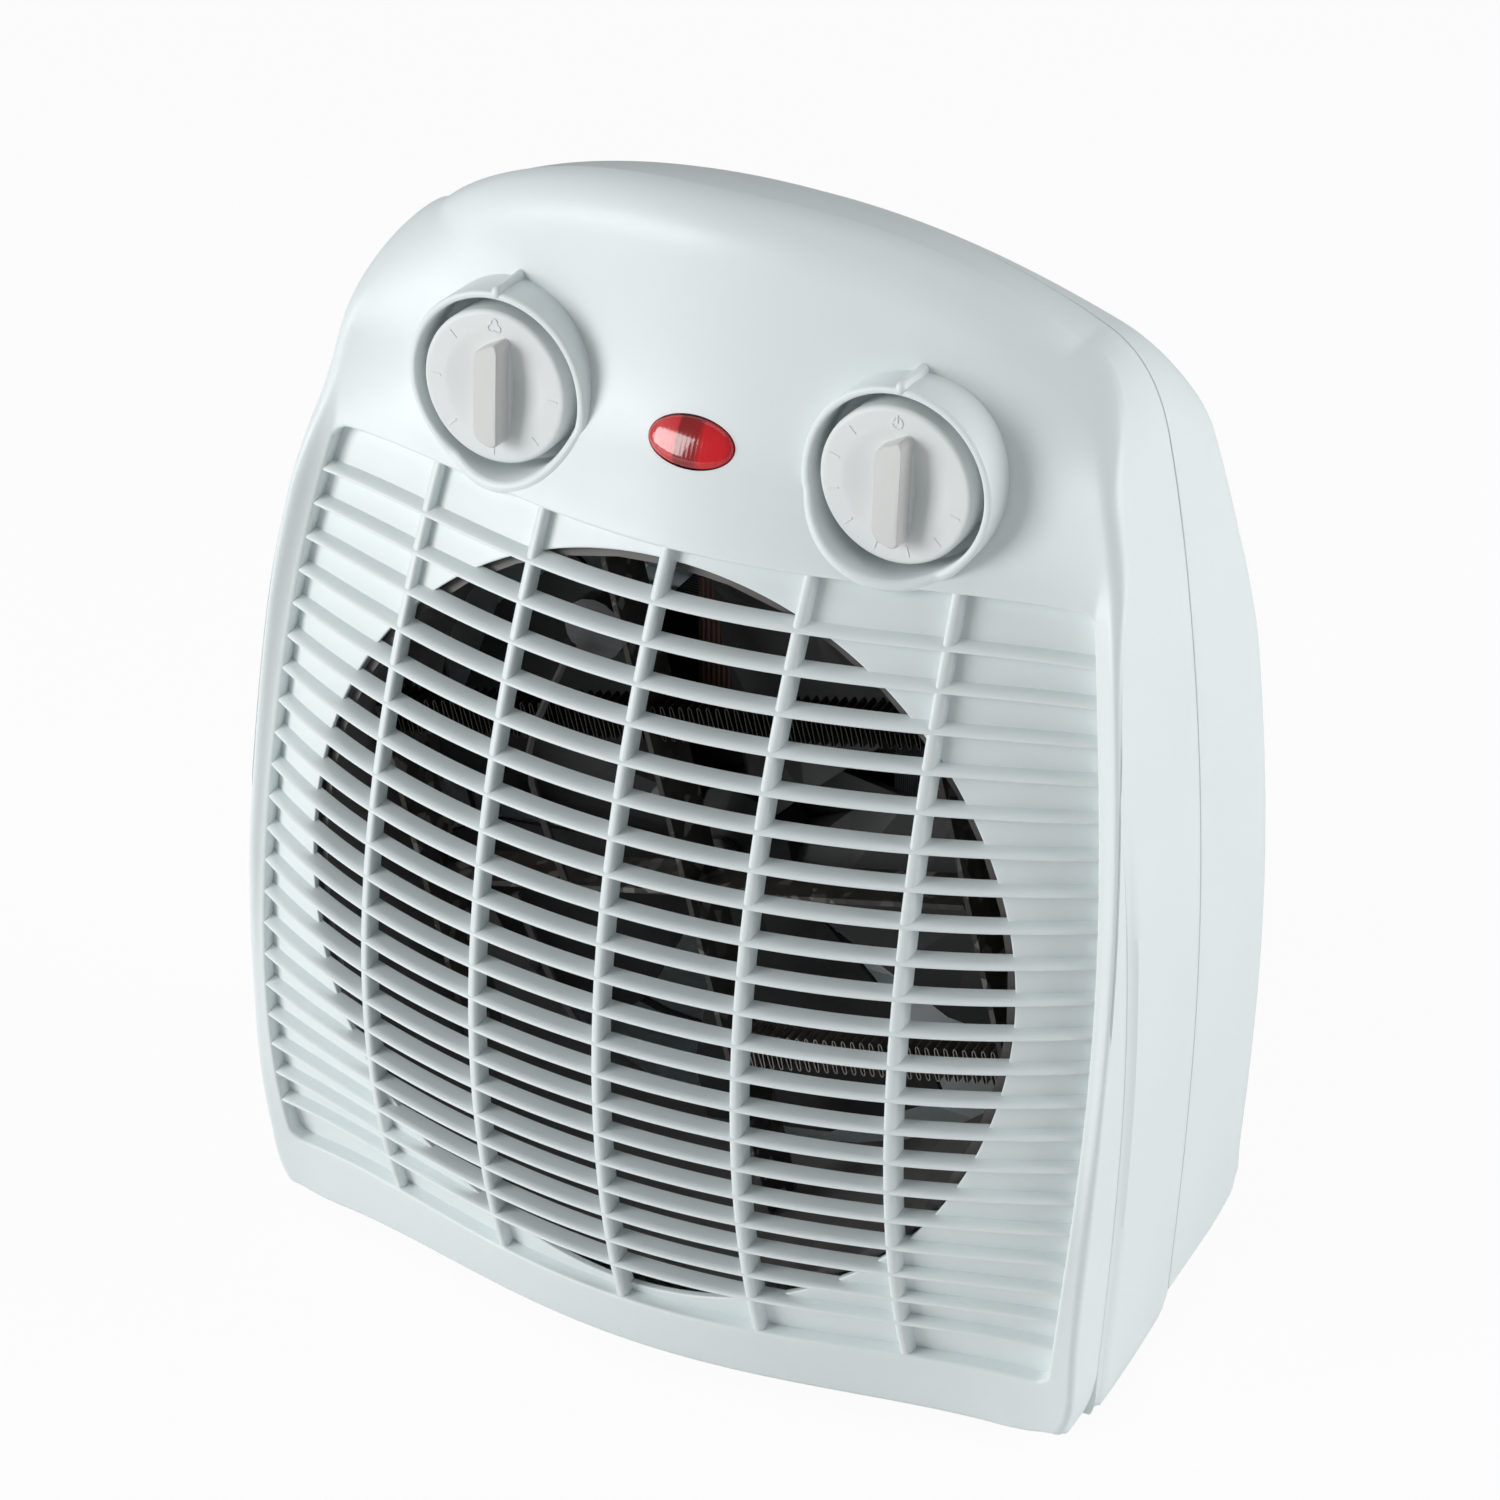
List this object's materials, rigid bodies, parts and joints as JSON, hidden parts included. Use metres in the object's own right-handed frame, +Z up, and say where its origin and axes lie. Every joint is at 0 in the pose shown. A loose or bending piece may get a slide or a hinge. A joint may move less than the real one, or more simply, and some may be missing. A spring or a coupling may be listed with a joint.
{
  "type": "fan heater",
  "caption": "Upright fan heater: flared white casing, louvred outlet in front, two control dials and a red lamp above it, a fan and heating element inside, rubber feet.",
  "frame": {"origin": "centre of the bounding box's underside, on the surface that the feet stand on", "axes": "+X to the right as seen from the front, +Y from the louvred front to the back, +Z up"},
  "size_m": [0.2044, 0.1189, 0.2556],
  "materials": {
    "casing": "satin white moulded shell",
    "lens": "clear red lens",
    "neon": "small clear bulb",
    "black_plastic": "black moulding",
    "dial": "pale grey moulding, fine matt",
    "steel": "plain zinc-coated steel",
    "ribbon": "rolled heating alloy",
    "mica": "pressed mica board",
    "ceramic": "pale unglazed ceramic",
    "duct": "dark grey moulding",
    "fan": "dark grey moulding",
    "coil": "varnished winding under tape",
    "bush": "sintered bronze",
    "rubber": "black rubber",
    "clamp": "pale moulding",
    "insulation": "dark sleeve"
  },
  "bodies": {
    "casing": {"front_cover": "casing", "rear_cover": "casing", "lamp_lens": "lens", "neon_lamp": "neon", "lamp_holder": "black_plastic", "function_switch": "black_plastic", "thermal_cut_out": "steel", "stator_core": "steel", "motor_bracket": "steel", "bearing_strap_front": "steel", "bearing_strap_rear": "steel", "case_screw_1": "steel", "case_screw_2": "steel", "case_screw_3": "steel", "case_screw_4": "steel", "motor_screw_1": "steel", "motor_screw_2": "steel", "heating_ribbon_lower": "ribbon", "heating_ribbon_upper_right": "ribbon", "heating_ribbon_upper_left": "ribbon", "mica_board_upright": "mica", "mica_board_level": "mica", "mica_end_board_left": "mica", "mica_end_board_right": "mica", "terminal_block": "ceramic", "thermostat": "ceramic", "fan_duct": "duct", "motor_coil": "coil", "shaft_bush_front": "bush", "shaft_bush_rear": "bush", "cord_inlet_bush": "rubber", "foot_front_left": "rubber", "foot_front_right": "rubber", "foot_rear_left": "rubber", "foot_rear_right": "rubber", "cord_clamp": "clamp", "element_lead_upper": "insulation", "element_lead_lower": "insulation", "lead_right": "insulation", "lead_left": "insulation"},
    "function_control": {"function_knob": "dial", "function_shaft": "steel"},
    "thermostat_control": {"thermostat_knob": "dial", "thermostat_shaft": "steel"},
    "fan_rotor": {"fan_impeller": "fan", "impeller_clip": "steel", "motor_shaft": "steel", "motor_rotor": "steel"}
  },
  "joints": [
    {"name": "function_turn", "type": "hinge", "parent": "casing", "child": "function_control", "pos_m": [-0.045, -0.01615, 0.20975], "axis": [0, -0.9979, 0.0645], "range_deg": [-180, 90]},
    {"name": "thermostat_turn", "type": "hinge", "parent": "casing", "child": "thermostat_control", "pos_m": [0.045, -0.01615, 0.20975], "axis": [0, -0.9979, 0.0645], "range_deg": [-135, 135]},
    {"name": "fan_spin", "type": "hinge", "parent": "casing", "child": "fan_rotor", "pos_m": [0, 0.005, 0.1041], "axis": [0, -1, 0], "continuous": true}
  ]
}
